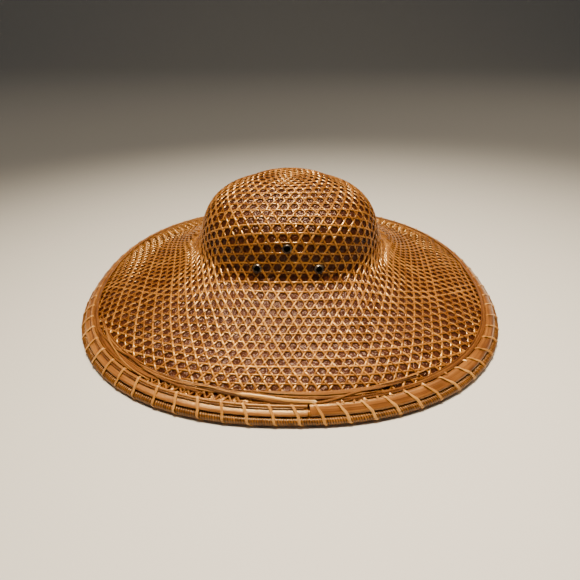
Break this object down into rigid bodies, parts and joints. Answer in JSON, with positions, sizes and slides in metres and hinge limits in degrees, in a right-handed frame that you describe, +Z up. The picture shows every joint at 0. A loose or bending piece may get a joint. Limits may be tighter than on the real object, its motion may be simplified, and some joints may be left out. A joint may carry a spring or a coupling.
{
  "type": "woven hat",
  "caption": "Wide-brimmed hat of open hexagonal bamboo weave over a leaf lining, with a domed crown, a lashed rim and metal eyelets.",
  "frame": {"origin": "on the ground under the middle of the rim", "axes": "+Z up, the front of the hat with its three eyelets faces -Y, +X to the right of someone who looks at the front"},
  "size_m": [0.438, 0.419, 0.1259],
  "materials": {
    "bamboo_weave": "varnished",
    "leaf": "satin",
    "bamboo_rim": "varnished",
    "cane": "varnished",
    "eyelet_metal": "dark, polished"
  },
  "bodies": {
    "root": {"woven_shell": "bamboo_weave", "leaf_lining": "leaf", "rim_hoop": "bamboo_rim", "rim_rod": "cane", "edge_strip": "bamboo_rim", "eyelet_top": "eyelet_metal", "eyelet_left": "eyelet_metal", "eyelet_right": "eyelet_metal"}
  },
  "joints": []
}
